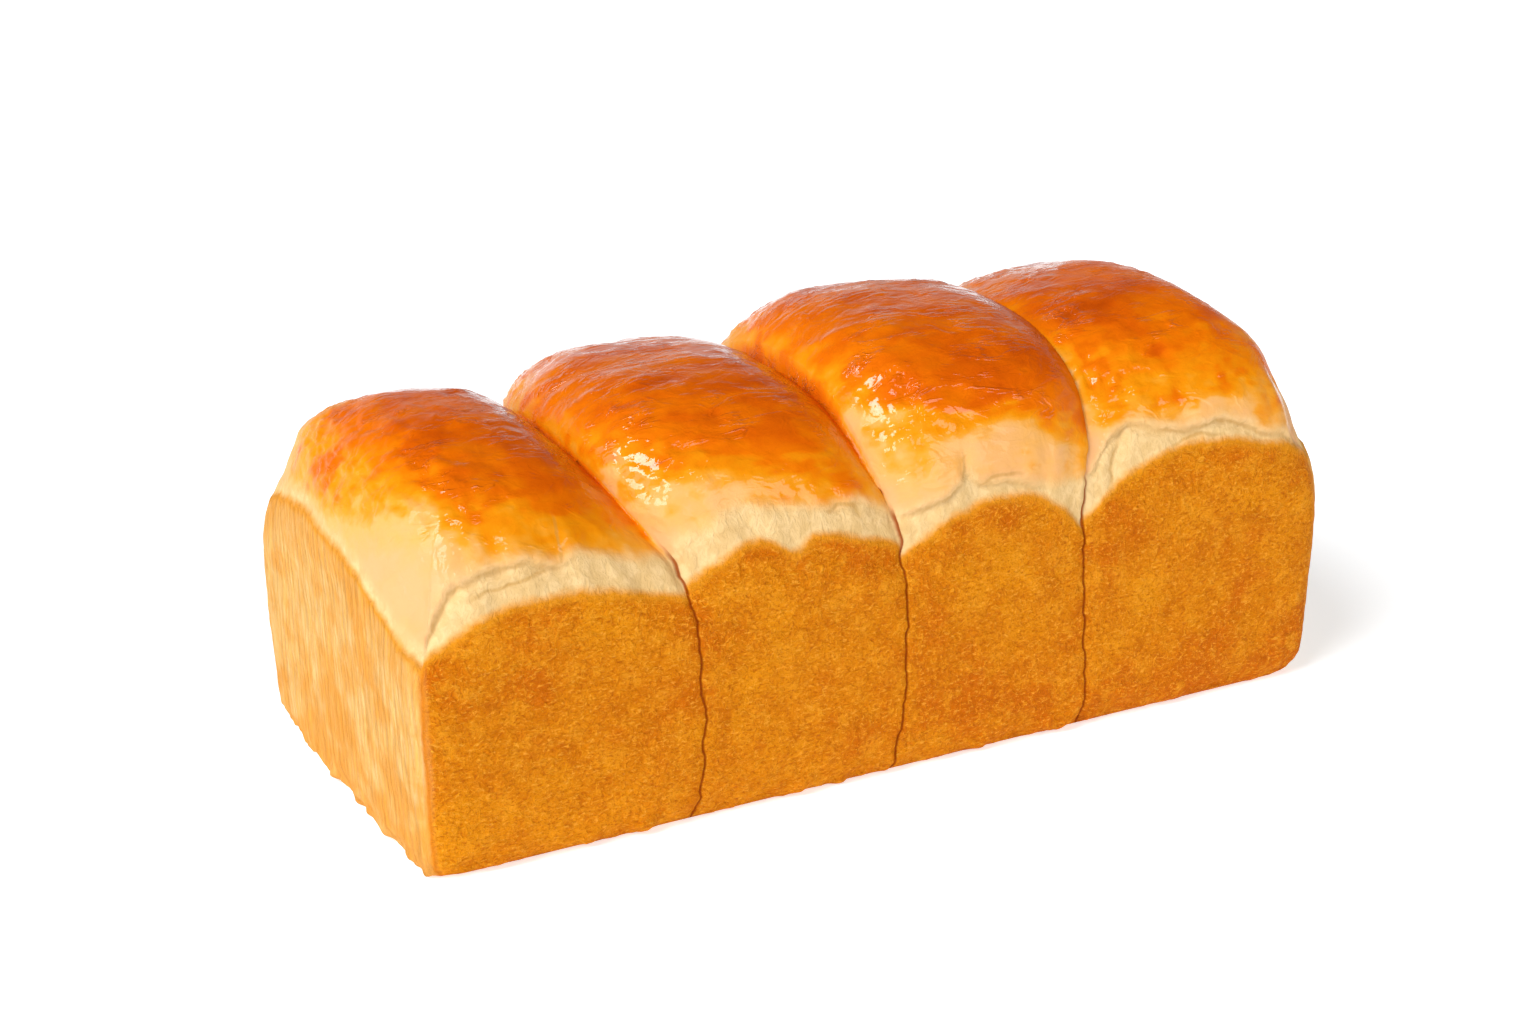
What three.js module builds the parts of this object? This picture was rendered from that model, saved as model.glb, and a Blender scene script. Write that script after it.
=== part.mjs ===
// Tin loaf: four balls of dough proved side by side and baked into one loaf in an open tin.
//
// The loaf is one baked body. Up to the rim of the tin it has the tin's flat, slightly
// flared walls. Above the rim each ball has swollen into a crown of its own, and the
// crowns meet in creases. Millimetres, +Z up, origin at the middle of the flat base.
import * as THREE from 'three';
import { mergeVertices } from 'three/addons/utils/BufferGeometryUtils.js';

// Driving dimensions
const loafLength = 268; // along X, at the rim of the tin
const loafWidth = 120; // along Y, at the rim of the tin
const rimHeight = 85; // above this the dough is free of the tin
const wallFlare = 2.5; // how far each wall has leaned out by the time it reaches the rim

// The four balls of dough, from the low end of X to the high end
const crownHeights = [98, 102, 109, 106];
const creasePlaces = [-61, -2, 54]; // where neighbouring balls meet along the walls
const creaseDrifts = [-14, -4, 6]; // how far each crease wanders along X on the crown
const driftHeights = [60, 95]; // the wandering starts and ends at these heights
const creaseDepths = [0.4, 0.31, 0.18]; // 0 is no crease, 1 would cut down to the middle
const endDepth = 0.8; // the same measure for the free ends of the loaf
const creaseTurn = 3.1; // a higher number keeps a ball full until close to its crease
const endTurn = 2.6; // the same measure for the free ends of the loaf
const sideTurn = 2.5; // how squarely a crown turns down towards the long walls
const crownTurn = 2.2; // how flat the top of a crown is
const ballHalfWidth = 65; // half the width that a ball would have with no tin around it
const swellHeight = 40; // the balls are at their widest up to this height

// How the walls, the base and the balls run into each other
const crumbHeight = 45; // height of the line through the middle of the crumb
const crumbHalfLength = loafLength / 2 - 0.8 * (loafWidth / 2);
const edgeTightness = 14; // a higher number gives the loaf sharper edges
const basePress = 1.5; // dough this far under the base plane is pressed flat

// Mesh density
const columnsPerBall = 11;
const columnEase = 0.1; // draws the columns closer together beside a crease
const rowsAcross = 20;
const rowsUp = 16;

const ballEnds = [-loafLength / 2, ...creasePlaces, loafLength / 2];

// The ball of dough that fills the loaf at this place along X
function ballAt(x) {
  return creasePlaces.filter((crease) => x >= crease).length;
}

// Below 1 inside the ball, above 1 outside it
function ballFill(point) {
  const ball = ballAt(point.x);
  const middle = (ballEnds[ball] + ballEnds[ball + 1]) / 2;
  const halfLength = (ballEnds[ball + 1] - ballEnds[ball]) / 2;
  const side = point.x < middle ? ball : ball + 1;
  const freeEnd = side === 0 || side === ballEnds.length - 1;
  const depth = freeEnd ? endDepth : creaseDepths[side - 1];
  const turn = freeEnd ? endTurn : creaseTurn;
  const along = (Math.abs(point.x - middle) / halfLength) ** turn;
  const across = (Math.abs(point.y) / ballHalfWidth) ** sideTurn;
  const rise = Math.max(point.z - swellHeight, 0) / (crownHeights[ball] - swellHeight);
  const freed = THREE.MathUtils.smoothstep(point.z, crumbHeight, rimHeight);
  return freed * depth * along + across + rise ** crownTurn;
}

// Distance from the crumb line, along a ray, to the skin that the ball would have
function ballReach(ray) {
  const point = new THREE.Vector3();
  let inside = 0;
  let outside = 2 * loafLength;
  for (let halving = 0; halving < 24; halving += 1) {
    const reach = (inside + outside) / 2;
    if (ballFill(ray.at(reach, point)) < 1) inside = reach;
    else outside = reach;
  }
  return inside;
}

// Distance from the crumb line, along a ray, to one face of the tin
function tinReach(ray, normal, distance) {
  const approach = ray.direction.dot(normal);
  return approach > 1e-6 ? (distance - ray.origin.dot(normal)) / approach : Infinity;
}

const lean = wallFlare / rimHeight;
const tinFaces = [
  [new THREE.Vector3(0, -1, -lean), loafWidth / 2 - wallFlare],
  [new THREE.Vector3(0, 1, -lean), loafWidth / 2 - wallFlare],
  [new THREE.Vector3(-1, 0, -lean), loafLength / 2 - wallFlare],
  [new THREE.Vector3(1, 0, -lean), loafLength / 2 - wallFlare],
  [new THREE.Vector3(0, 0, -1), basePress],
];

// Takes a point on the surface of a box to the skin of the loaf, straight out from the
// crumb line: the nearest of the tin's faces and the ball's skin stops it, and a soft
// minimum of all of them rounds the edges
function doughSkin(point) {
  const start = new THREE.Vector3(
    THREE.MathUtils.clamp(point.x, -crumbHalfLength, crumbHalfLength), 0, crumbHeight);
  const ray = new THREE.Ray(start, point.clone().sub(start).normalize());
  const reaches = [ballReach(ray), ...tinFaces.map((face) => tinReach(ray, ...face))];
  const closeness = reaches.reduce(
    (sum, reach) => sum + (reach / crumbHeight) ** -edgeTightness, 0);
  const skin = ray.at(crumbHeight * closeness ** (-1 / edgeTightness), new THREE.Vector3());
  skin.z = Math.max(skin.z, 0);
  skin.x += creaseDrift(skin);
  return skin;
}

// The creases wander a little along X once they are up on the crown
function creaseDrift(point) {
  const ball = ballAt(point.x);
  const share = (point.x - ballEnds[ball]) / (ballEnds[ball + 1] - ballEnds[ball]);
  const drifts = [0, ...creaseDrifts, 0];
  const drift = THREE.MathUtils.lerp(drifts[ball], drifts[ball + 1], share);
  return drift * THREE.MathUtils.smoothstep(point.z, ...driftHeights);
}

// A box with its columns shared out between the balls, drawn close to every crease
function doughBox() {
  const columns = columnsPerBall * 4;
  const box = new THREE.BoxGeometry(
    columns, loafWidth, loafWidth, columns, rowsAcross, rowsUp);
  const places = box.getAttribute('position');
  for (let index = 0; index < places.count; index += 1) {
    const column = places.getX(index) + columns / 2;
    const ball = Math.min(Math.floor(column / columnsPerBall), 3);
    const share = column / columnsPerBall - ball;
    const eased = share - columnEase * Math.sin(2 * Math.PI * share);
    places.setX(index, THREE.MathUtils.lerp(ballEnds[ball], ballEnds[ball + 1], eased));
    places.setZ(index, places.getZ(index) + loafWidth / 2);
  }
  box.deleteAttribute('normal');
  box.deleteAttribute('uv');
  return mergeVertices(box, 1e-3);
}

function loaf() {
  const geometry = doughBox();
  const places = geometry.getAttribute('position');
  const point = new THREE.Vector3();
  for (let index = 0; index < places.count; index += 1) {
    point.fromBufferAttribute(places, index);
    places.setXYZ(index, ...doughSkin(point));
  }
  geometry.center();
  geometry.translate(0, 0, geometry.boundingBox.max.z);
  geometry.computeVertexNormals();
  const crust = new THREE.MeshStandardMaterial({
    color: 0xc8741c, roughness: 0.5, metalness: 0,
  });
  const mesh = new THREE.Mesh(geometry, crust);
  mesh.name = 'loaf';
  return mesh;
}

const tinLoaf = new THREE.Group();
tinLoaf.add(loaf());
export default tinLoaf;
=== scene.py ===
import math

import bmesh
import bpy
import numpy as np
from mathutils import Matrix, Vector, noise


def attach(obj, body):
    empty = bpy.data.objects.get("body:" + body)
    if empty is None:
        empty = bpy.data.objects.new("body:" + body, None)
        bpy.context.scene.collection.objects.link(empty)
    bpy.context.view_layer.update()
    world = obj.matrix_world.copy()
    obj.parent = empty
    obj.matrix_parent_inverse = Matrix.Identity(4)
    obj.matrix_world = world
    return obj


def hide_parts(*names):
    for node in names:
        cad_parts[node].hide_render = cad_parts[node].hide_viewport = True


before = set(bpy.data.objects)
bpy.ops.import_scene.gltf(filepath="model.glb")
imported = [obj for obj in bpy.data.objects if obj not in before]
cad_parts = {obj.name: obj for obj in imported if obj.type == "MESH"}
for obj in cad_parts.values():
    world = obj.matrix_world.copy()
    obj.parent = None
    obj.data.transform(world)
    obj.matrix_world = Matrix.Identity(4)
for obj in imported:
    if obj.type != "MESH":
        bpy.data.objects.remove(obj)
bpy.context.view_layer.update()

millimetre = 0.001

# ---- camera ----
cameraSetup = {
    "place": (-0.3193, -0.5739, 0.3019),
    "heading": 28.35,  # degrees away from straight across the loaf
    "dip": 20.78,  # degrees below level
    "lens": 61.5,
}


def placeCamera():
    bpy.ops.object.camera_add(location=cameraSetup["place"])
    camera = bpy.context.object
    camera.name = "bakeryCamera"
    dip, heading = math.radians(cameraSetup["dip"]), math.radians(cameraSetup["heading"])
    camera.rotation_euler = (math.pi / 2 - dip, 0, -heading)
    camera.data.lens = cameraSetup["lens"]
    camera.data.clip_end = 50
    bpy.context.scene.camera = camera
    print("camera placed")


# ---- node shorthand ----
def wire(tree, socket, value):
    if isinstance(value, bpy.types.NodeSocket):
        tree.links.new(value, socket)
    else:
        socket.default_value = value


def maths(tree, operation, first, second=0.0):
    step = tree.nodes.new("ShaderNodeMath")
    step.operation = operation
    wire(tree, step.inputs[0], first)
    wire(tree, step.inputs[1], second)
    return step.outputs[0]


def times(tree, first, second):
    return maths(tree, "MULTIPLY", first, second)


def centred(tree, noisy):  # a noise of 0 to 1 as one of -0.5 to 0.5
    return maths(tree, "SUBTRACT", noisy, 0.5)


def fade(tree, value, low, high, start=0.0, finish=1.0):
    reach = tree.nodes.new("ShaderNodeMapRange")
    reach.interpolation_type = "SMOOTHSTEP"
    for socket, amount in zip(("Value", "From Min", "From Max", "To Min", "To Max"),
                              (value, low, high, start, finish)):
        wire(tree, reach.inputs[socket], amount)
    return reach.outputs[0]


# ---- studio ----
studioSetup = {
    "floorSize": 12.0,
    "floorColour": (0.78, 0.80, 0.82, 1),
    "floorGlow": 0.54,  # the table is a lit white sheet
    "horizon": 0.85,  # how bright the room is low down
    "ceiling": 0.02,  # and overhead
    "lift": (0.08, 0.6),  # it darkens between these heights, 0 level and 1 overhead
    "darkSide": 0.45,  # the share of it left beyond the two ends
    "sides": (0.2, 0.8),  # and it fades to that between these, 0 straight ahead and 1 beyond an end
    "lamps": {  # bearing and height in degrees as seen from the loaf, spread, strength
        "windowLamp": (-90, 24, 50, 1.2),
        "keyLamp": (-74, 47, 30, 2.6),
        "topLamp": (-8, 68, 8, 0.12),
        "frontLamp": (14, 28, 40, 1.0),
    },
}


def softLamp(name, bearing, height, spread, strength):  # bearing 0 is in front, -90 at the low end
    bpy.ops.object.light_add(type="SUN", location=(0, 0, 1))
    lamp = bpy.context.object
    lamp.name = name
    lamp.data.angle = math.radians(spread)
    lamp.data.energy = strength
    turn, lift = math.radians(bearing), math.radians(height)
    shine = Vector((-math.sin(turn) * math.cos(lift), math.cos(turn) * math.cos(lift), -math.sin(lift)))
    lamp.rotation_euler = shine.to_track_quat("-Z", "Y").to_euler()


def lightStudio():
    for name, setup in studioSetup["lamps"].items():
        softLamp(name, *setup)
    world = bpy.data.worlds.new("studioRoom")
    bpy.context.scene.world = world
    world.use_nodes = True
    tree = world.node_tree
    towards = tree.nodes.new("ShaderNodeTexCoord")
    split = tree.nodes.new("ShaderNodeSeparateXYZ")
    tree.links.new(towards.outputs["Generated"], split.inputs[0])
    lift = fade(tree, split.outputs["Z"], *studioSetup["lift"],
                studioSetup["horizon"], studioSetup["ceiling"])
    sideways = maths(tree, "ABSOLUTE", split.outputs["X"])
    shade = fade(tree, sideways, *studioSetup["sides"], 1.0, studioSetup["darkSide"])
    wire(tree, tree.nodes["Background"].inputs["Strength"], times(tree, lift, shade))
    tree.nodes["Background"].inputs["Color"].default_value = (1, 1, 1, 1)
    bpy.context.scene.view_settings.view_transform = "Standard"
    print("studio lit")


def layFloor():
    bpy.ops.object.select_all(action="DESELECT")
    bpy.ops.mesh.primitive_plane_add(size=studioSetup["floorSize"], location=(0, 0, 0))
    floor = bpy.context.object
    floor.name = "bakeryFloor"
    paint = bpy.data.materials.new("paleFloor")
    paint.use_nodes = True
    shader = paint.node_tree.nodes["Principled BSDF"]
    shader.inputs["Base Color"].default_value = studioSetup["floorColour"]
    shader.inputs["Roughness"].default_value = 0.9
    shader.inputs["Specular IOR Level"].default_value = 0.1
    shader.inputs["Emission Color"].default_value = (1, 1, 1, 1)
    shader.inputs["Emission Strength"].default_value = studioSetup["floorGlow"]
    floor.data.materials.append(paint)
    print("floor laid")


# ---- the loaf's dough ----
doughShape = {  # millimetres
    "length": 268,
    "width": 120,
    "rimHeight": 85,
    "wallFlare": 2.5,
    "crownHeights": (98, 102, 109, 106),
    "creasePlaces": (-61, -2, 54),
    "creaseDrifts": (-14, -4, 6),
    "driftHeights": (60, 95),
    "creaseDepths": (0.4, 0.31, 0.18),
    "endDepth": 0.8,
    "creaseTurn": 3.1,
    "endTurn": 2.6,
    "sideTurn": 2.5,
    "crownTurn": 2.2,
    "ballHalfWidth": 65,
    "swellHeight": 40,
    "crumbHeight": 45,
    "crumbEnd": 0.8,  # the crumb line stops this share of half the width short of each end
    "edgeTightness": 14,
    "basePress": 1.5,
    "blockRows": ((0, 0.08, 0.40, 1), (0, 6, 52, 97)),  # shares of the rows, and the heights they reach
    "columnEase": 0.1,
}
ballEnds = (-doughShape["length"] / 2, *doughShape["creasePlaces"], doughShape["length"] / 2)


def smoothStep(low, high, value):
    share = np.clip((value - low) / (high - low), 0, 1)
    return share * share * (3 - 2 * share)


def ballAt(x):
    return np.searchsorted(np.array(doughShape["creasePlaces"]), x, side="right")


def ballFill(points):  # below 1 inside the ball of dough, above 1 outside it
    x, y, z = points.T
    ends = np.array(ballEnds)
    ball = ballAt(x)
    middle = (ends[ball] + ends[ball + 1]) / 2
    half = (ends[ball + 1] - ends[ball]) / 2
    side = np.where(x < middle, ball, ball + 1)
    depth = np.array([doughShape["endDepth"], *doughShape["creaseDepths"], doughShape["endDepth"]])[side]
    turn = np.where((side == 0) | (side == 4), doughShape["endTurn"], doughShape["creaseTurn"])
    along = (np.abs(x - middle) / half) ** turn
    across = (np.abs(y) / doughShape["ballHalfWidth"]) ** doughShape["sideTurn"]
    top = np.array(doughShape["crownHeights"])[ball]
    swell = doughShape["swellHeight"]
    rise = (np.maximum(z - swell, 0) / (top - swell)) ** doughShape["crownTurn"]
    freed = smoothStep(doughShape["crumbHeight"], doughShape["rimHeight"], z)
    return freed * depth * along + across + rise


def ballReach(starts, rays):
    inside = np.zeros(len(starts))
    outside = np.full(len(starts), 2.0 * doughShape["length"])
    for halving in range(22):
        reach = (inside + outside) / 2
        filled = ballFill(starts + rays * reach[:, None]) < 1
        inside = np.where(filled, reach, inside)
        outside = np.where(filled, outside, reach)
    return inside


def tinReach(starts, rays, normal, distance):
    never, level = 1e6, 1e-6  # a ray level with the face never meets it
    approach = rays @ np.array(normal)
    gap = distance - starts @ np.array(normal)
    return np.where(approach > level, gap / np.maximum(approach, level), never)


def doughSkin(points):
    flare = doughShape["wallFlare"]
    lean = flare / doughShape["rimHeight"]
    halfLength, halfWidth = doughShape["length"] / 2, doughShape["width"] / 2
    middle = doughShape["crumbHeight"]
    crumbHalf = halfLength - doughShape["crumbEnd"] * halfWidth
    starts = np.stack([np.clip(points[:, 0], -crumbHalf, crumbHalf),
                       np.zeros(len(points)), np.full(len(points), float(middle))], 1)
    rays = points - starts
    rays /= np.linalg.norm(rays, axis=1, keepdims=True)
    reaches = [ballReach(starts, rays),
               tinReach(starts, rays, (0, -1, -lean), halfWidth - flare),
               tinReach(starts, rays, (0, 1, -lean), halfWidth - flare),
               tinReach(starts, rays, (-1, 0, -lean), halfLength - flare),
               tinReach(starts, rays, (1, 0, -lean), halfLength - flare),
               tinReach(starts, rays, (0, 0, -1), doughShape["basePress"])]
    tight = doughShape["edgeTightness"]
    closeness = sum((reach / middle) ** -tight for reach in reaches)
    skin = starts + rays * (middle * closeness ** (-1 / tight))[:, None]
    skin[:, 2] = np.maximum(skin[:, 2], 0)
    return skin, rays


# How the creases wander along X, front and back, at these heights on the walls
creaseWander = {
    "heights": (0, 10, 28, 45, 62),
    "front": ((1, 2, 3, 1.5, 0), (-2, 0, 1.2, 1, 0), (1.5, 1, 0, -1.5, -2)),
    "back": ((-1, -2, -1, 1, 0), (1, 2, 1, -1, 0), (-2, -1, 1, 1.5, 0)),
    "rough": 1.1,  # small wiggles on top of that
}


def creaseShift(points):  # how far each point moves along X with its creases
    x, y, z = points.T
    drifts = np.array([0, *doughShape["creaseDrifts"], 0], float)
    shifts = np.zeros((len(drifts), len(points)))
    risen = smoothStep(*doughShape["driftHeights"], z)
    frontness = smoothStep(10, -10, y)
    for crease in range(1, 4):
        rough = creaseWander["rough"] * grain(np.stack([0 * x, 30 * frontness, z], 1), 7, 24 + crease, 3)
        front = np.interp(z, creaseWander["heights"], creaseWander["front"][crease - 1])
        back = np.interp(z, creaseWander["heights"], creaseWander["back"][crease - 1])
        wander = frontness * front + (1 - frontness) * back + rough * (1 - hump(frontness - 0.5, 0.25))
        shifts[crease] = drifts[crease] * risen + wander * (1 - risen)
    ends = np.array(ballEnds)
    ball = ballAt(x)
    share = np.clip((x - ends[ball]) / (ends[ball + 1] - ends[ball]), 0, 1)
    columns = np.arange(len(points))
    return shifts[ball, columns] * (1 - share) + shifts[ball + 1, columns] * share


def cutEdges(block, axis, cuts):
    bpy.ops.mesh.select_mode(type="EDGE")
    bpy.ops.mesh.select_all(action="DESELECT")
    cage = bmesh.from_edit_mesh(block.data)
    for edge in cage.edges:
        run = edge.verts[0].co - edge.verts[1].co
        edge.select_set(abs(run[axis]) > 1e-6)
    bmesh.update_edit_mesh(block.data)
    bpy.ops.mesh.subdivide(number_cuts=cuts)


# Axis, and how many cuts are added to each edge that runs along it
blockCuts = ((0, 3), (0, 63), (1, 3), (1, 23), (2, 1), (2, 47))


def griddedBlock():
    bpy.ops.object.select_all(action="DESELECT")
    bpy.ops.mesh.primitive_cube_add(size=1, location=(0, 0, 0))
    block = bpy.context.object
    bpy.ops.object.mode_set(mode="EDIT")
    for axis, cuts in blockCuts:
        cutEdges(block, axis, cuts)
    bpy.ops.object.mode_set(mode="OBJECT")
    return block


def readPoints(piece):
    flat = np.empty(3 * len(piece.data.vertices))
    piece.data.vertices.foreach_get("co", flat)
    return flat.reshape(-1, 3).astype(float)


def writePoints(piece, points):
    piece.data.vertices.foreach_set("co", points.astype(np.float32).ravel())
    piece.data.update()


def readNormals(piece):
    flat = np.empty(3 * len(piece.data.vertices), np.float32)
    piece.data.vertex_normals.foreach_get("vector", flat)
    return flat.reshape(-1, 3).astype(float)


def spreadBlock(unit):  # the unit block's grid shared out between the balls of dough
    ends = np.array(ballEnds)
    column = (unit[:, 0] + 0.5) * 4
    ball = np.minimum(column.astype(int), 3)
    share = column - ball
    eased = share - doughShape["columnEase"] * np.sin(2 * math.pi * share)
    x = ends[ball] + (ends[ball + 1] - ends[ball]) * eased
    z = np.interp(unit[:, 2] + 0.5, *doughShape["blockRows"])
    return np.stack([x, unit[:, 1] * doughShape["width"], z], 1)


# ---- tin wall, torn band and crown ----
tornBand = {  # millimetres; the band of bare crumb between the wall and the glazed crown
    "front": {
        # for each ball: where the wall's flat patch is tallest, how tall there, and at its two feet
        "peak": (-98, -36, 29, 86), "top": (67.5, 71, 70.5, 74.5),
        "feet": ((53, 60), (62, 62), (59.5, 57), (60, 61)),
        "notch": (-31.5, 4, 4),  # in the wall's edge: place, half width, depth
        # along the loaf: height of the lip of the crown, and how strongly it overhangs
        "lip": ((-134, 56, 0), (-128, 61.5, 0.7), (-124, 67, 0.9), (-120, 72, 1), (-114, 74.6, 1),
                (-107, 76.4, 1), (-98, 76.7, 0.9), (-90, 74.2, 0.8), (-84, 76, 0.2), (-75, 73, 0),
                (-62, 69, 0), (-55, 74, 0), (-38, 80, 0.1), (-22, 76, 0.3), (-10, 75, 0.4), (-2, 71, 0.2),
                (2, 70.5, 0.6), (12.6, 73.7, 0.9), (16.3, 76.3, 0.9), (18, 79, 0.3), (22, 74.7, 0.7),
                (29, 75.6, 0.8), (37, 72, 0.7), (43, 71, 0), (54, 70, 0), (57, 74, 0.5), (60, 79, 0.9),
                (66, 82, 1), (73, 81.7, 0.9), (84, 79, 1), (90, 79, 1), (95, 80.6, 1), (104, 78, 1),
                (110, 75, 0.9), (119, 71, 0.7), (124, 66, 0.3), (134, 62, 0)),
        "cracks": (((-117, 69.5), (-111, 71.5), (-104, 72), (-97, 73.8), (-90, 74.4)),
                   ((-90, 74.2), (-88, 77), (-87, 80), (-84, 84)),
                   ((-20, 74.5), (-16, 76.2), (-12, 75), (-11, 72)),
                   ((16.3, 76.3), (17.4, 79), (17.6, 84)), ((21, 74), (25, 76.5), (30, 77), (34, 75.5)),
                   ((80, 75.6), (88, 76.9), (98, 75.8)), ((63, 79), (61, 73), (62, 66))),
    },
    "back": {
        "peak": (-92, -28, 24, 95), "top": (70, 72, 73, 74),
        "feet": ((58, 61), (60, 63), (60, 60), (61, 60)),
        "notch": (20, 5, 3),
        "lip": ((-134, 60, 0), (-122, 70, 0.5), (-100, 79, 0.9), (-80, 77, 0.9), (-61, 70, 0.1),
                (-45, 74, 0.9), (-20, 80, 0.8), (-2, 71, 0), (12, 80, 0.2), (35, 77, 0.8), (54, 70, 0.1),
                (70, 80, 0.9), (100, 80, 0.9), (122, 69, 0.4), (134, 63, 0)),
        "cracks": (((-110, 75), (-98, 74), (-88, 76)), ((-30, 84), (-27, 79), (-31, 74)),
                   ((8, 83), (11, 78), (9, 70)), ((76, 83), (79, 79), (77, 74)),
                   ((88, 77), (97, 78), (106, 76))),
    },
    "ends": {"peak": 8, "top": (72.5, 75), "gap": 3},
}


def grain(points, size, seed, octaves=2):  # smooth noise, about -1 to 1, in lumps of that size
    shift = Vector((seed * 7.3, seed * 3.1, seed * 5.7))
    return np.array([
        noise.fractal(Vector(point) + shift, 0.7, 2.1, octaves, noise_basis="PERLIN_ORIGINAL")
        for point in points / size
    ])


def hump(distance, width):
    return np.exp(-(distance / width) ** 2)


def arch(place, peak, start, finish, top, footBefore, footAfter):  # a rounded patch, tallest at its peak
    before = place < peak
    foot = np.where(before, footBefore, footAfter)
    reach = np.where(before, peak - start, finish - peak)
    return foot + (top - foot) * (1 - np.clip(np.abs(place - peak) / reach, 0, 1) ** 2)


def edgeHeights(points):  # heights of the top of the tin wall and of the crown's lip, and the overhang
    x, y, z = points.T
    halfLength, halfWidth = doughShape["length"] / 2, doughShape["width"] / 2
    ends = np.array(ballEnds)
    ball = ballAt(x)
    walls, lips, hangs = [], [], []
    for side in ("front", "back"):
        setup = tornBand[side]
        peak, top = np.array(setup["peak"], float)[ball], np.array(setup["top"], float)[ball]
        before, after = np.array(setup["feet"], float)[ball].T
        wall = arch(x, peak, ends[ball], ends[ball + 1], top, before, after)
        place, width, depth = setup["notch"]
        walls.append(wall - depth * hump(x - place, width))
        places, heights, hang = np.array(setup["lip"], float).T
        lips.append(np.interp(x, places, heights))
        hangs.append(np.interp(x, places, hang))
    setup = tornBand["ends"]
    feet = [np.where(x < 0, tornBand[side]["feet"][0][0], tornBand[side]["feet"][3][1])
            for side in ("front", "back")]
    top = np.where(x < 0, *setup["top"])
    endWall = arch(y, setup["peak"], -halfWidth, halfWidth, top, *feet)
    onEnd = (np.abs(x) - halfLength) > (np.abs(y) - halfWidth)
    wall = np.where(onEnd, endWall, np.where(y < 0, *walls))
    lip = np.where(onEnd, endWall + setup["gap"], np.where(y < 0, *lips))
    hang = np.where(onEnd, 0, np.where(y < 0, *hangs))
    return wall, lip, hang


def fromCracks(points):  # millimetres to the nearest small tear in the band, and how deep it is there
    x, y, z = points.T
    far, reach, onSide = 9.0, 2.5, 25
    nearest = np.full(len(points), far)  # below zero on one side of the tear
    depth = np.zeros(len(points))
    for side, sign in (("front", -1), ("back", 1)):
        for crack in tornBand[side]["cracks"]:
            line = np.array(crack, float)
            steps = len(line) - 1
            for step in range(steps):
                start, run = line[step], line[step + 1] - line[step]
                share = np.clip(((x - start[0]) * run[0] + (z - start[1]) * run[1]) / (run @ run), 0, 1)
                away = np.hypot(x - start[0] - share * run[0], z - start[1] - share * run[1])
                away = np.where(y * sign > onSide, away, far)
                hand = np.where((x - start[0]) * run[1] > (z - start[1]) * run[0], 1, -1)
                along = (step + share) / steps
                closer = away < np.abs(nearest)
                depth = np.where(closer, np.sqrt(4 * along * (1 - along)) * (away < reach), depth)
                nearest = np.where(closer, away * hand, nearest)
    return nearest, depth


crownFloor = 80  # everything higher than this, in millimetres, is on a crown
pits = (  # on the crowns: place along and across, radius, depth; a negative depth is a blister
    (-33, -32, 2.0, 0.9), (76.6, -9, 1.8, 0.8), (82, -39.5, 2.6, 0.8), (-123.5, -27.8, 2.0, -0.5),
    (102, -34.5, 3.0, -0.6), (-84, 12, 2.2, 0.6), (24, 30, 2.4, 0.8), (-25, 38, 2.0, 0.6),
    (96, 28, 2.4, 0.7),
)
patches = (  # on the crowns: place along, climb in degrees, half width, half height, browner by
    (-116, 37, 9, 8, -0.05), (-95, 67, 12, 2.5, 0.08), (-44, 38, 11, 5, -0.08),
    (-38, 76, 8, 3, 0.14), (-52, 70, 5, 4, 0.10), (-18, 50, 10, 6, 0.03), (-43, 53, 5, 2, 0.07),
    (27, 53, 10, 4, 0.07), (32, 48, 4, 1.5, 0.08), (44, 56, 7, 8, 0.09), (71, 70, 9, 5, 0.13),
    (63, 58, 3.5, 2.5, 0.12), (76, 63, 7, 2.2, 0.08), (82, 52.5, 3, 2, 0.13), (98, 58, 8, 3, -0.04),
    (33, 34, 21, 8, -0.13), (86, 33, 27, 5, -0.12),
    (-96, 112, 12, 5, 0.10), (-30, 118, 9, 5, 0.12), (22, 110, 12, 4, 0.10), (90, 116, 10, 5, 0.12),
)
glazeEdges = (  # where a skin of glaze ends in a sharp line: from, to, climb, browner by, raised by
    (4, 50, 46.5, 0.13, 0.3), (-108, -70, 47.5, 0.03, 0.35),
    (-46, -12, 66, 0.04, 0.25), (60, 96, 73, 0.05, 0.25),
)
browningAndLight = {  # 0 where the glaze is cream, 0.25 amber, 0.5 brown
    "climb": ((21, 0), (38, 0.225), (48, 0.31), (62, 0.42), (80, 0.47)),  # degrees, and how browned
    "lean": ((0, 0.1, 0.3, 0.6, 1), (-7, -3.5, 1.5, 4.5, 6)),  # degrees more, left to right on a ball: partly uneven browning, partly painted light, paler on the lit left side and browner on the shaded right
    "endLean": ((-55, -30, -5, 20), (-7, -6, 0, 3)),  # and from front to back on the two ends
    "waver": (2.6, 2.2),  # degrees that broad and fine noise add to the climb
    "flank": (0.20, 6),  # paler beside the crease on its left, partly painted light where that flank faces the lamps: by how much, and reach in millimetres
    "rightFlank": 0.05,  # browner towards the crease on its right, partly painted shade on the side turned away from the lamps
    "blotch": 0.12,
    "streak": 0.05,
    "pit": 0.16,  # browner in a pit, for each millimetre of its depth
    "foot": ((-134, -70, 0, 60, 134), (-0.6, -0.3, 0.2, 0.6, 0.9)),  # tone of the foot along the loaf, partly painted light: paler and yellower at the lamp-lit low end, redder at the far end
}
reliefDepths = {  # millimetres
    "band": 0.5, "overhang": 0.9, "undercut": 0.9, "fibres": 0.12, "pleats": 0.9, "cracks": 0.6,
    "wrinkles": 0.6, "swells": 0.8, "crumple": 0.6, "dimples": 0.25, "wall": 0.35, "wallGrain": 0.16,
    "groove": 0.6, "cleft": 0.12, "foot": 2.0, "shoulder": 2.4,
}
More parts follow.
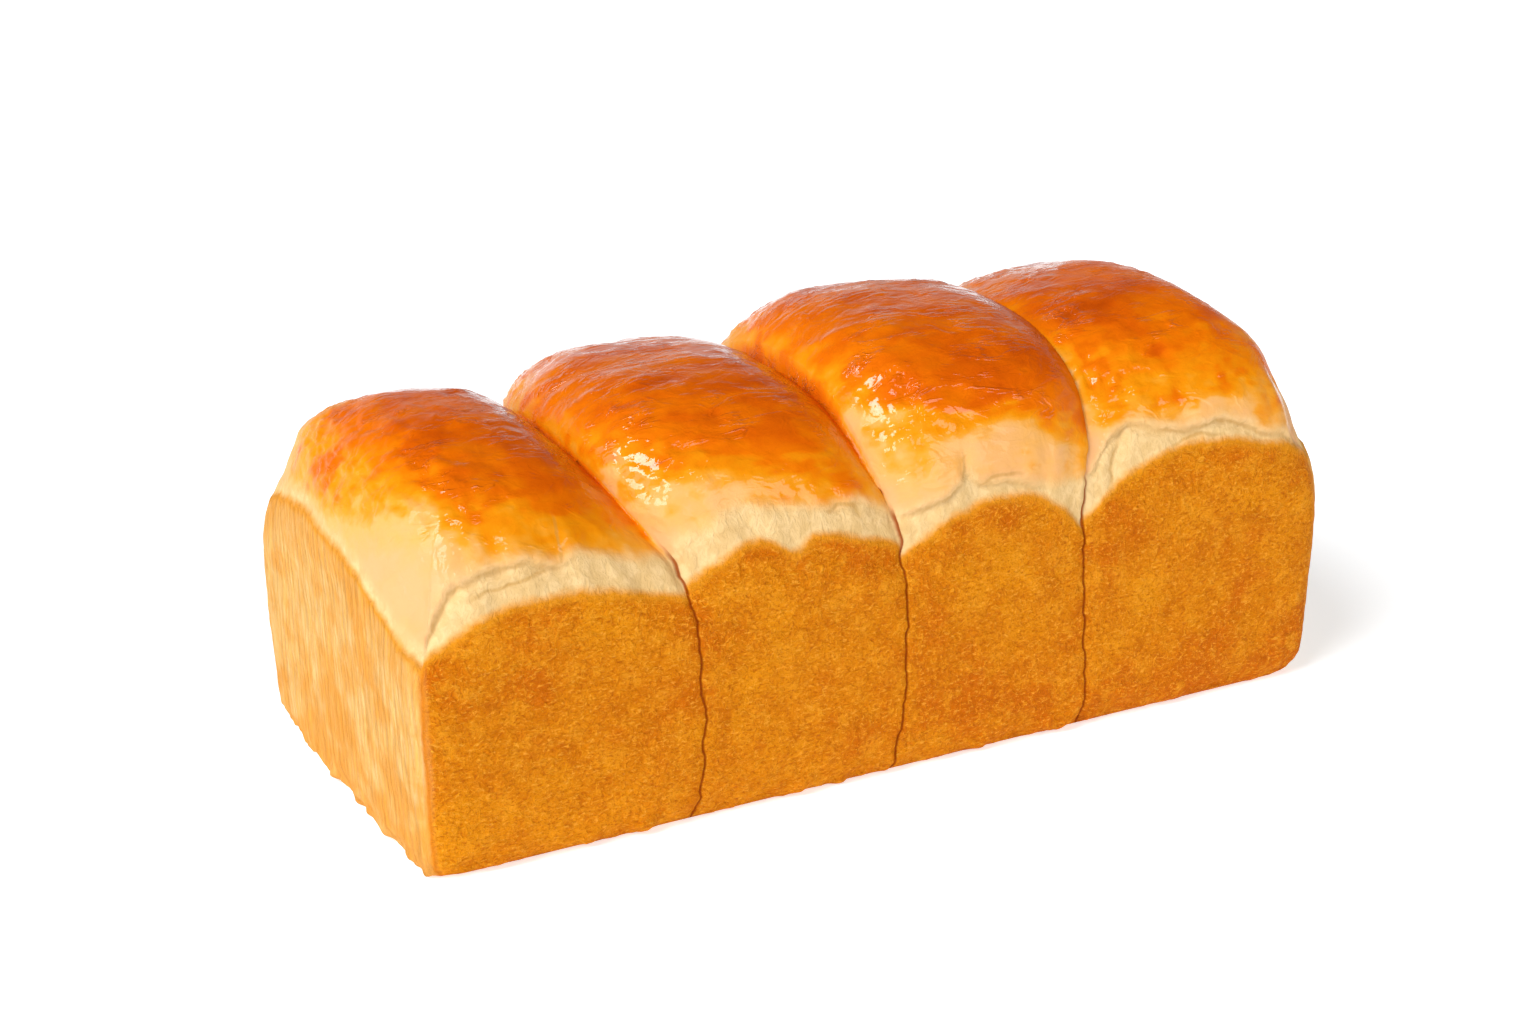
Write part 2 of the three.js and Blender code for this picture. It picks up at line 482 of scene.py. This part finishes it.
lumpSizes = {  # millimetres across
    "wobble": (9, 3), "fibres": 2.2, "pleats": 8, "ridges": 10, "wrinkled": 20, "swells": 22,
    "crumple": 6.5, "dimples": 3.4, "wall": 16, "wallGrain": 3.2, "foot": (9, 4),
}
crownClimbs = {  # degrees: from none to all of it, or the middle and the spread
    "pleatsEnd": (33, 42), "glazed": (30, 46), "wrinkled": (44, 62),
    "crumpled": (49, 21), "shoulder": (38, 15),
}


def glazeEdge(points, turn):  # how much browner, and how much higher, the skins of glaze are
    x = points[:, 0]
    browner, higher = np.zeros(len(x)), np.zeros(len(x))
    waver = 1.6 * grain(points * (1, 0.2, 0.2), 9, 21, 3)
    for start, finish, edge, brown, height in glazeEdges:
        above = turn - edge - waver - 2.5 * np.cos((x - start) / (finish - start) * 2 * math.pi)
        along = smoothStep(start - 3, start + 3, x) * smoothStep(finish + 3, finish - 3, x)
        share = along * smoothStep(-0.5, 0.6, above) * (1 - smoothStep(6, 20, above))
        browner += brown * share
        higher += height * share
    return browner, higher


def bakedAndLitShare(points, climb, turn):  # 0 where the glaze is cream, past 0.5 where it is brown
    x, y, z = points.T
    ends = np.array(ballEnds)
    ball = ballAt(x)
    across = (x - ends[ball]) / (ends[ball + 1] - ends[ball])
    # painted light as well as browning: the lean makes each ball paler on its lamp-lit left side and
    # browner on its shaded right
    lean = np.interp(across, *browningAndLight["lean"])
    onEnd = smoothStep(118, 130, np.abs(x))
    lean += onEnd * (np.interp(y, *browningAndLight["endLean"]) - lean)
    broad, narrow = browningAndLight["waver"]
    drift = broad * grain(points, 15, 12) + narrow * grain(points, 5, 15, 3) + lean
    bakedAndLit = np.interp(climb + drift, *np.array(browningAndLight["climb"], float).T)
    risen = smoothStep(0.08, 0.3, bakedAndLit)
    spots = grain(points * (0.6, 1, 1), 10, 13, 3)
    bakedAndLit += risen * browningAndLight["blotch"] * (0.6 * spots + 0.5 * smoothStep(0.12, 0.3, spots))
    bakedAndLit += risen * browningAndLight["streak"] * grain(points * (0.25, 0.8, 1), 3.5, 14, 2)
    upright = hump(climb - 38, 10) * browningAndLight["streak"]
    bakedAndLit += upright * grain(np.stack([x, 0.1 * y, 0.15 * z], 1), 5, 18, 2)
    # painted light and shade: paler beside the crease on a ball's lit left flank, browner towards the
    # crease on its shaded right flank
    amount, reach = browningAndLight["flank"]
    toLeft = np.where(ball > 0, x - ends[ball], 99)
    bakedAndLit -= amount * np.exp(-toLeft / reach) * smoothStep(36, 52, climb)
    bakedAndLit += browningAndLight["rightFlank"] * risen * smoothStep(0.6, 1, across) * (ball < 3)
    nudgeX, nudgeTurn = 2.5 * grain(points, 6, 19, 3), 1.5 * grain(points, 6, 20, 3)
    for place, height, wide, tall, amount in patches:
        away = np.hypot((x + nudgeX - place) / wide, (turn + nudgeTurn - height) / tall)
        bakedAndLit += amount * (1 - smoothStep(0.5, 1.3, away))
    for place, side, radius, depth in pits:
        soaked = hump(np.hypot(x - place, y - side), 0.8 * radius) * (z > crownFloor)
        bakedAndLit += browningAndLight["pit"] * depth * soaked
    return bakedAndLit


def wallTone(points, aboveWall):  # above 0 the wall is browner and redder there, below 0 yellower
    x, y, z = points.T
    tone = 0.8 * grain(points, 30, 22) + 0.7 * grain(points, 11, 23, 3)
    tone += 0.35 * smoothStep(-14, -4, aboveWall)
    # partly painted light: along the loaf the foot is paler and yellower at the lamp-lit low end and
    # redder at the far end
    low = smoothStep(34, 8, z)
    return tone + low * np.interp(x, *browningAndLight["foot"])


def crustRelief(points, rays):
    x, y, z = points.T
    halfLength = doughShape["length"] / 2
    depths, sizes, climbs = reliefDepths, lumpSizes, crownClimbs
    climb = np.degrees(np.arcsin(np.clip(rays[:, 2], -1, 1)))
    turn = np.where(y > 0, 180 - climb, climb)  # carries on past 90 down the back
    broad, narrow = sizes["wobble"]
    wobble = 0.8 * grain(points * (1, 1, 0.3), broad, 1) + 0.35 * grain(points, narrow, 2)
    wall, lip, hang = edgeHeights(points)
    aboveWall = z - wall + wobble
    aboveLip = z - lip + 1.2 * wobble
    fromCrease = np.abs(x[:, None] - np.array(ballEnds[1:4], float)[None, :]).min(1)
    fromCrack, crackDepth = fromCracks(points + np.stack([wobble, 0 * wobble, wobble], 1))
    crownShare = smoothStep(-1, 3, aboveLip)  # 1 on the crown, 0 off it, and so for the others
    wallShare = 1 - smoothStep(-0.4, 0.8, aboveWall)
    bandShare = (1 - crownShare) * (1 - wallShare)

    # the torn band: sunk behind the wall's edge and under the lip, pulled into fibres and pleats
    relief = -depths["band"] * smoothStep(-0.3, 1.5, aboveWall) * (1 - smoothStep(3, 14, aboveWall))
    overhang = smoothStep(-0.5, 0.4, aboveLip) * np.exp(-np.maximum(aboveLip, 0) / 6)
    undercut = hump(aboveLip + 1.2, 1.2) * smoothStep(0.5, 2.0, aboveWall)
    relief += hang * (depths["overhang"] * overhang - depths["undercut"] * undercut)
    relief += bandShare * depths["fibres"] * grain(points * (1, 1, 0.2), sizes["fibres"], 3)
    pleated = smoothStep(-2, 2, aboveWall) * (1 - smoothStep(*climbs["pleatsEnd"], climb))
    relief += pleated * depths["pleats"] * grain(points * (1, 0.6, 0.12), sizes["pleats"], 4)
    relief -= depths["cracks"] * crackDepth * hump(fromCrack, 0.9)

    # the crowns: swells, wrinkles along the top, a crumpled left flank, pits and full shoulders
    ends = np.array(ballEnds)
    ball = ballAt(x)
    across = (x - ends[ball]) / (ends[ball + 1] - ends[ball])
    lines = np.stack([x * 0.16, y * 0.2, turn * 0.9], 1)
    ridges = np.clip(1 - 4.5 * np.abs(grain(lines, sizes["ridges"], 5, 3)), 0, 1)
    wrinkles = ridges * smoothStep(-0.15, 0.35, grain(points, sizes["wrinkled"], 16))
    glazed = crownShare * smoothStep(*climbs["glazed"], climb)
    middle, spread = climbs["crumpled"]
    flank = 0.25 + 0.75 * smoothStep(0.65, 0.2, across) * hump(climb - middle, spread)
    crumple = 0.5 - 2 * np.abs(grain(points * (0.9, 1, 1), sizes["crumple"], 7, 3))
    browner, higher = glazeEdge(points, turn)
    calm = smoothStep(0, 4, fromCrease)  # the balls only just touch along the creases
    swells = depths["swells"] * grain(points * (0.6, 1, 1), sizes["swells"], 6)
    relief += calm * crownShare * (swells + higher)
    glazed *= calm
    wrinkles *= smoothStep(*climbs["wrinkled"], climb)
    relief += glazed * (depths["wrinkles"] * wrinkles + depths["crumple"] * flank * crumple)
    relief += glazed * depths["dimples"] * grain(points, sizes["dimples"], 17, 2) * flank
    onEnd = smoothStep(halfLength - 30, halfLength - 12, np.abs(x))
    middle, spread = climbs["shoulder"]
    relief += depths["shoulder"] * onEnd * hump(climb - middle, spread) * smoothStep(50, 66, z)
    for place, side, radius, depth in pits:
        relief -= depth * hump(np.hypot(x - place, y - side), radius) * (z > crownFloor)

    # the walls and their ragged foot
    pressed = depths["wall"] * grain(points, sizes["wall"], 8)
    pressed += depths["wallGrain"] * grain(points, sizes["wallGrain"], 9)
    relief += wallShare * pressed
    ragged = (1 - smoothStep(1, 9, z)) * smoothStep(-0.2, 1.5, z)
    broad, narrow = sizes["foot"]
    lumps = 0.9 * grain(points, broad, 10) + 0.5 * grain(points, narrow, 11) - 0.2
    relief += depths["foot"] * ragged * lumps

    # the creases: a groove in each long wall, and only a cleft once they are up on the crown
    risen = smoothStep(62, 80, z)
    onSide = (np.abs(y) > 45) * (1 - risen)
    slot = 0.6 * np.exp(-fromCrease / 0.5) + 0.4 * np.exp(-fromCrease / 2.5)  # a fine slit in a soft dip
    relief -= depths["groove"] * onSide * slot
    relief -= depths["cleft"] * np.exp(-fromCrease / 1.3) * risen
    endward = (np.abs(x) - halfLength) - (np.abs(y) - doughShape["width"] / 2)
    fields = {"aboveWall": aboveWall, "aboveLip": aboveLip, "hang": hang,
              "fromCrease": fromCrease, "fromCrack": fromCrack, "crackDepth": crackDepth,
              "bakedAndLit": bakedAndLitShare(points, climb, turn) + browner,
              "endShare": smoothStep(-2.5, 2.5, endward + wobble),
              "wallTone": wallTone(points, aboveWall)}
    return relief, fields


def addField(piece, name, values):
    field = piece.data.attributes.new(name, "FLOAT", "POINT")
    field.data.foreach_set("value", values.astype(np.float32))


def bakeLoaf():
    loaf = griddedBlock()
    loaf.name = "bakedLoaf"
    loaf.data.name = "bakedLoaf"
    plain, rays = doughSkin(spreadBlock(readPoints(loaf)))
    skin = plain.copy()
    skin[:, 0] += creaseShift(plain)
    skin[:, :2] -= (skin[:, :2].max(0) + skin[:, :2].min(0)) / 2
    writePoints(loaf, skin * millimetre)
    print("dough shaped")
    relief, fields = crustRelief(plain, rays)
    risen = plain[:, 2] > 1e-3
    skin += readNormals(loaf) * (relief * risen)[:, None]
    skin[:, 2] = np.where(risen, np.maximum(skin[:, 2], 0.05), 0)
    writePoints(loaf, skin * millimetre)
    for name, values in fields.items():
        addField(loaf, name, values)
    flattenBase(loaf)
    bpy.ops.object.shade_smooth()
    print("crust raised:", len(loaf.data.polygons), "faces")
    return loaf


def flattenBase(loaf):  # the pressed base is one flat face
    bpy.ops.object.mode_set(mode="EDIT")
    bpy.ops.mesh.select_mode(type="FACE")
    bpy.ops.mesh.select_all(action="DESELECT")
    cage = bmesh.from_edit_mesh(loaf.data)
    for face in cage.faces:
        face.select_set(all(vert.co.z < 1e-6 for vert in face.verts))
    bmesh.update_edit_mesh(loaf.data)
    bpy.ops.mesh.dissolve_faces()
    bpy.ops.object.mode_set(mode="OBJECT")


# ---- crust finish ----
crustColours = {
    "wall": (0.64, 0.195, 0.003),
    "wallLight": (0.78, 0.30, 0.012),
    "wallSpeck": (0.84, 0.36, 0.03),
    "wallDark": (0.46, 0.10, 0.001),
    "wallRed": (0.56, 0.115, 0.001),
    "wallYellow": (0.72, 0.25, 0.004),
    "wallRim": (0.72, 0.27, 0.012),
    "endWall": (0.75, 0.40, 0.10),
    "endStreak": (0.79, 0.51, 0.21),
    "endAmber": (0.72, 0.28, 0.03),
    "corner": (0.60, 0.17, 0.004),
    "crumb": (0.78, 0.54, 0.26),
    "crumbShade": (0.62, 0.39, 0.15),
    "crackShade": (0.47, 0.24, 0.05),
    "crease": (0.27, 0.04, 0.0),
    "glaze": ((0.0, (0.75, 0.39, 0.165)), (0.133, (0.77, 0.38, 0.10)), (0.19, (0.77, 0.30, 0.02)),
              (0.25, (0.77, 0.25, 0.002)), (0.36, (0.73, 0.155, 0.0)), (0.5, (0.64, 0.105, 0.0)),
              (0.62, (0.55, 0.078, 0.0)), (0.8, (0.36, 0.042, 0.0)), (1.0, (0.22, 0.020, 0.0))),
}
crustFinish = {
    "fray": 1.6,  # millimetres by which the edges of wall, band and crown are ragged
    "mottle": 0.2,  # how far the browning varies over a few millimetres
    "dry": 0.9,  # roughness of wall and band
    "glazed": 0.6,  # and of the crust under the glaze
    "gleam": 0.03,  # shine of the crust itself
    "wallShine": 0.04,  # a trace of grease from the tin
    "coatRoughness": 0.06,
    "coatBend": 1.5,  # index of refraction of the glaze
    "depths": {"leather": 1.0, "threads": 0.7, "skin": 0.4, "wrinkles": 0.24},  # millimetres
}


def field(tree, name):
    reader = tree.nodes.new("ShaderNodeAttribute")
    reader.attribute_name = name
    return reader.outputs["Fac"]


def speckle(tree, size, detail=2.0, twist=0.0, stretch=(1, 1, 1), rough=0.55, slant=0):  # size in mm
    place = tree.nodes.new("ShaderNodeTexCoord")
    spread = tree.nodes.new("ShaderNodeMapping")
    spread.inputs["Rotation"].default_value = (0, math.radians(slant), 0)
    spread.inputs["Scale"].default_value = stretch
    cloud = tree.nodes.new("ShaderNodeTexNoise")
    cloud.inputs["Scale"].default_value = 1 / (size * millimetre)
    cloud.inputs["Detail"].default_value = detail
    cloud.inputs["Roughness"].default_value = rough
    cloud.inputs["Distortion"].default_value = twist
    tree.links.new(place.outputs["Object"], spread.inputs["Vector"])
    tree.links.new(spread.outputs["Vector"], cloud.inputs["Vector"])
    return cloud.outputs["Fac"]


def tint(tree, share, under, over):
    mixer = tree.nodes.new("ShaderNodeMix")
    mixer.data_type = "RGBA"
    wire(tree, mixer.inputs[0], share)
    wire(tree, mixer.inputs[6], under if isinstance(under, bpy.types.NodeSocket) else (*under, 1))
    wire(tree, mixer.inputs[7], over if isinstance(over, bpy.types.NodeSocket) else (*over, 1))
    return mixer.outputs[2]


def blend(tree, share, under, over):
    mixer = tree.nodes.new("ShaderNodeMix")
    for socket, value in zip((0, 2, 3), (share, under, over)):
        wire(tree, mixer.inputs[socket], value)
    return mixer.outputs[0]


def press(tree, height, depth, under=None):  # depth in millimetres
    bump = tree.nodes.new("ShaderNodeBump")
    bump.inputs["Distance"].default_value = depth * millimetre
    wire(tree, bump.inputs["Height"], height)
    if under is not None:
        wire(tree, bump.inputs["Normal"], under)
    return bump.outputs[0]


def glazeColour(tree, bakedAndLit):
    ramp = tree.nodes.new("ShaderNodeValToRGB")
    stops = crustColours["glaze"]
    while len(ramp.color_ramp.elements) < len(stops):
        ramp.color_ramp.elements.new(0.5)
    for stop, (place, colour) in zip(ramp.color_ramp.elements, stops):
        stop.position = place
        stop.color = (*colour, 1)
    wire(tree, ramp.inputs[0], bakedAndLit)
    return ramp.outputs["Color"]


def crustMaterial():
    crust = bpy.data.materials.new("bakedCrust")
    crust.use_nodes = True
    tree = crust.node_tree
    shader = tree.nodes["Principled BSDF"]
    colours, finish = crustColours, crustFinish
    fray = times(tree, centred(tree, speckle(tree, 2.0, 3)), finish["fray"])
    aboveWall = maths(tree, "ADD", field(tree, "aboveWall"), fray)
    aboveLip = maths(tree, "ADD", field(tree, "aboveLip"), fray)
    onBand = fade(tree, aboveWall, -0.4, 2.4)
    onCrown = fade(tree, aboveLip, -1.5, 3.0)
    offCrown = maths(tree, "SUBTRACT", 1.0, onCrown)

    # tin wall: dry crust with a fine worm-like grain, paler and streaked on the two ends
    fine = speckle(tree, 0.75, 2, twist=0.6, stretch=(0.5, 1, 1), rough=0.75, slant=38)
    worm = speckle(tree, 1.9, 3, twist=1.8, rough=0.62)
    cloud = speckle(tree, 7, 4, rough=0.6)
    tone = field(tree, "wallTone")
    # the wall's tone; at the foot it is partly painted light, paler and yellower at the lamp-lit low end
    wall = tint(tree, fade(tree, tone, 0.0, 0.9, 0.0, 0.8), colours["wall"], colours["wallRed"])
    wall = tint(tree, fade(tree, tone, 0.0, -0.8, 0.0, 0.8), wall, colours["wallYellow"])
    wall = tint(tree, fade(tree, cloud, 0.53, 0.66, 0.0, 0.5), wall, colours["wallLight"])
    wall = tint(tree, fade(tree, cloud, 0.45, 0.32, 0.0, 0.5), wall, colours["wallDark"])
    wall = tint(tree, fade(tree, worm, 0.54, 0.66, 0.0, 0.6), wall, colours["wallLight"])
    wall = tint(tree, fade(tree, worm, 0.46, 0.32, 0.0, 0.55), wall, colours["wallDark"])
    wall = tint(tree, fade(tree, fine, 0.53, 0.72, 0.0, 0.75), wall, colours["wallSpeck"])
    wall = tint(tree, fade(tree, fine, 0.48, 0.28, 0.0, 0.75), wall, colours["wallDark"])
    streaks = speckle(tree, 1.7, 5, twist=1.2, stretch=(1, 1, 0.14), rough=0.72)
    end = tint(tree, fade(tree, streaks, 0.36, 0.68), colours["endWall"], colours["endStreak"])
    end = tint(tree, fade(tree, cloud, 0.4, 0.75, 0.0, 0.6), end, colours["endAmber"])
    end = tint(tree, fade(tree, tone, 0.2, -0.8, 0.0, 0.7), end, colours["endAmber"])
    end = tint(tree, fade(tree, aboveWall, -16, -2, 0.0, 0.5), end, colours["endAmber"])
    endShare = field(tree, "endShare")
    wall = tint(tree, endShare, wall, end)
    atCorner = times(tree, fade(tree, endShare, 0.1, 0.45), fade(tree, endShare, 0.9, 0.55, 0.0, 0.8))
    wall = tint(tree, atCorner, wall, colours["corner"])
    wall = tint(tree, fade(tree, aboveWall, -2.5, 0.3, 0.0, 0.85), wall, colours["wallRim"])

    # torn band: bare crumb pulled into upright fibres
    fibre = speckle(tree, 2.0, 4, twist=0.6, stretch=(1, 1, 0.6), rough=0.65)
    band = tint(tree, fade(tree, fibre, 0.38, 0.62, 0.5, 0.0), colours["crumb"], colours["crumbShade"])
    band = tint(tree, fade(tree, cloud, 0.55, 0.4, 0.0, 0.5), band, colours["crumbShade"])

    # crown: glazed skin, browner the higher it stands, with painted light in it: paler on each ball's lit
    # left side, browner on its shaded right
    mottle = times(tree, centred(tree, speckle(tree, 5.0, 5, stretch=(0.6, 1, 1))), finish["mottle"])
    bakedAndLit = maths(tree, "ADD", field(tree, "bakedAndLit"), mottle)
    crown = glazeColour(tree, bakedAndLit)

    colour = tint(tree, onBand, wall, band)
    colour = tint(tree, onCrown, colour, crown)

    # shade in the small tears, under the lips and down in the creases
    gash = fade(tree, maths(tree, "ABSOLUTE", field(tree, "fromCrack")), 0.1, 0.7, 0.5, 0.0)
    gash = times(tree, gash, field(tree, "crackDepth"))
    lipLine = times(tree, fade(tree, aboveLip, -1.7, -0.7), fade(tree, aboveLip, -0.6, 0.1, 0.5, 0.0))
    lipLine = times(tree, lipLine, field(tree, "hang"))
    lipLine = times(tree, lipLine, fade(tree, cloud, 0.4, 0.58, 0.35, 1.0))
    colour = tint(tree, maths(tree, "MAXIMUM", gash, lipLine), colour, colours["crackShade"])
    fromCrease = field(tree, "fromCrease")
    seam = times(tree, fade(tree, fromCrease, 0.1, 0.6, 0.9, 0.0), offCrown)
    colour = tint(tree, seam, colour, colours["crease"])
    wire(tree, shader.inputs["Base Color"], colour)

    # the glaze shines more where it is browner, less on the two ends and beside the creases
    shine = fade(tree, bakedAndLit, 0.05, 0.3, 0.3, 1.0)
    shine = times(tree, shine, fade(tree, endShare, 0.0, 1.0, 1.0, 0.35))
    shine = times(tree, shine, fade(tree, fromCrease, 0.5, 6.0, 0.2, 1.0))
    greasy = blend(tree, onBand, finish["wallShine"], 0.0)
    wire(tree, shader.inputs["Coat Weight"], blend(tree, onCrown, greasy, shine))
    wire(tree, shader.inputs["Roughness"], blend(tree, onCrown, finish["dry"], finish["glazed"]))
    shader.inputs["Specular IOR Level"].default_value = finish["gleam"]
    shader.inputs["Coat Roughness"].default_value = finish["coatRoughness"]
    shader.inputs["Coat IOR"].default_value = finish["coatBend"]

    # fine relief: grain on the walls, threads on the band, a skin like foil and thin wrinkles on top
    leather = maths(tree, "ADD", worm, times(tree, fine, 0.4))
    leather = blend(tree, endShare, leather, times(tree, streaks, 1.1))
    leather = times(tree, leather, maths(tree, "SUBTRACT", 1.0, onBand))
    threads = times(tree, fibre, times(tree, onBand, offCrown))
    foil = centred(tree, speckle(tree, 6.0, 2, twist=0.8, stretch=(0.6, 1, 1)))
    foil = times(tree, maths(tree, "ABSOLUTE", foil), -1.6)
    skin = maths(tree, "ADD", foil, times(tree, speckle(tree, 1.6, 2), 0.22))
    skin = times(tree, skin, onCrown)
    wrinkle = centred(tree, speckle(tree, 5.0, 3, twist=0.7, stretch=(0.22, 1, 1)))
    wrinkle = fade(tree, maths(tree, "ABSOLUTE", wrinkle), 0.0, 0.07, 1.0, 0.0)
    wrinkle = times(tree, wrinkle, fade(tree, speckle(tree, 14, 2), 0.42, 0.6))
    wrinkle = times(tree, wrinkle, fade(tree, bakedAndLit, 0.3, 0.44))
    wrinkle = times(tree, wrinkle, onCrown)
    depths = finish["depths"]
    relief = press(tree, leather, depths["leather"])
    relief = press(tree, threads, depths["threads"], relief)
    relief = press(tree, skin, depths["skin"], relief)
    relief = press(tree, wrinkle, depths["wrinkles"], relief)
    wire(tree, shader.inputs["Normal"], relief)
    wire(tree, shader.inputs["Coat Normal"], relief)
    print("crust finished")
    return crust


placeCamera()
lightStudio()
layFloor()
loaf = bakeLoaf()
loaf.data.materials.append(crustMaterial())
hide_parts("loaf")
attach(loaf, "root")
